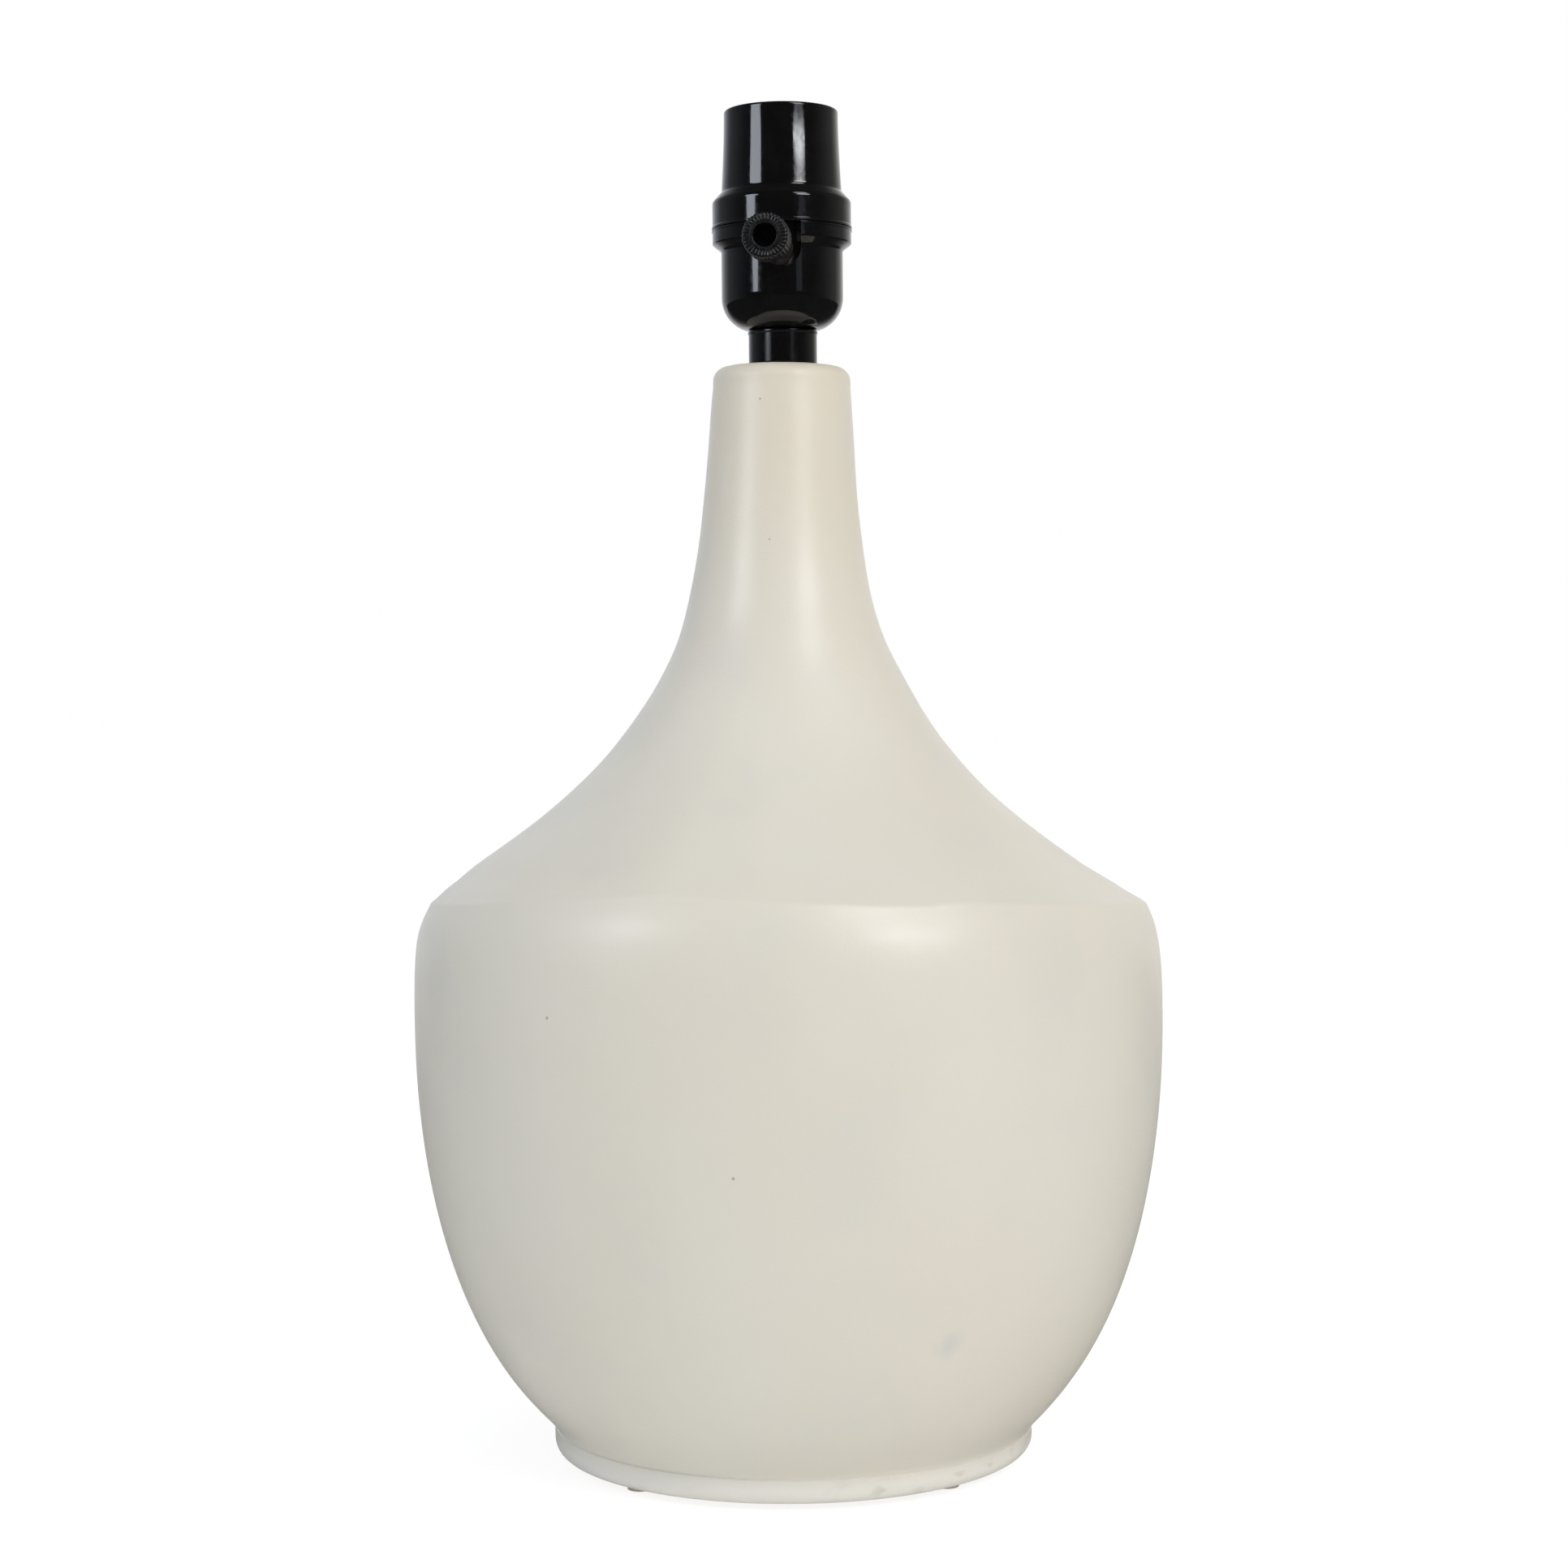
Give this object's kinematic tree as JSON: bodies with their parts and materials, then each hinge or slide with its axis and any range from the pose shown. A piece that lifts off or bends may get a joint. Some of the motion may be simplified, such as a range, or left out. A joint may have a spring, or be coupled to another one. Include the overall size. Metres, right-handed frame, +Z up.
{
  "type": "ceramic table lamp",
  "caption": "Table lamp with a bottle-shaped glazed ceramic body, a raised foot ring and a black bulb holder with a turn knob; no shade, no cord.",
  "frame": {"origin": "on the surface the lamp stands on, under the middle of the foot", "axes": "+Z up along the lamp's axis; -Y towards the front, where the turn knob points; +X to the right seen from the front"},
  "size_m": [0.2168, 0.2168, 0.3895],
  "materials": {
    "glaze": "satin warm white glaze over slip-cast stoneware",
    "black_phenolic": "moulded glossy black phenolic",
    "black_steel": "semi-gloss black enamel on turned steel",
    "felt": "pressed natural white felt",
    "rubber": "matt black rubber",
    "zinc": "bright zinc plating",
    "brass": "drawn and stamped brass",
    "nickel": "nickel plating",
    "rolled_aluminium": "rolled sheet, lightly satin",
    "nylon": "moulded natural nylon",
    "brown_phenolic": "moulded brown phenolic"
  },
  "bodies": {
    "lamp": {"ceramic_body": "glaze", "felt_pad_1": "felt", "felt_pad_2": "felt", "felt_pad_3": "felt", "felt_pad_4": "felt", "cord_bushing": "nylon", "floor_gasket": "rubber", "floor_washer": "zinc", "lock_washer": "zinc", "pipe_nut": "zinc", "lamp_pipe": "zinc", "pipe_end_bush": "nylon", "neck_gasket": "rubber", "neck_spacer": "black_steel", "socket_cap": "black_phenolic", "cap_hub": "brass", "hub_screw": "zinc", "socket_shell": "black_phenolic", "screw_shell": "rolled_aluminium", "body_screw_1": "zinc", "body_screw_2": "zinc", "contact_rivet": "brass", "switch_housing": "brown_phenolic", "terminal_plate_hot": "brass", "terminal_screw_hot": "brass", "terminal_plate_neutral": "nickel", "terminal_screw_neutral": "nickel"},
    "switch_spindle": {"turn_knob": "black_phenolic", "switch_shaft": "zinc", "switch_cam": "brown_phenolic", "switch_bridge": "brass"},
    "contact_leaf": {"centre_contact": "brass"}
  },
  "joints": [
    {"name": "knob_turn", "type": "hinge", "parent": "lamp", "child": "switch_spindle", "pos_m": [0, 0, 0.3481], "axis": [-0.1167, -0.9932, 0], "continuous": true},
    {"name": "contact_press", "type": "hinge", "parent": "lamp", "child": "contact_leaf", "pos_m": [0.00073, 0.00626, 0.35935], "axis": [0.9932, -0.1167, 0], "range_deg": [0, 8], "stiffness_Nm_per_rad": 0.3}
  ]
}
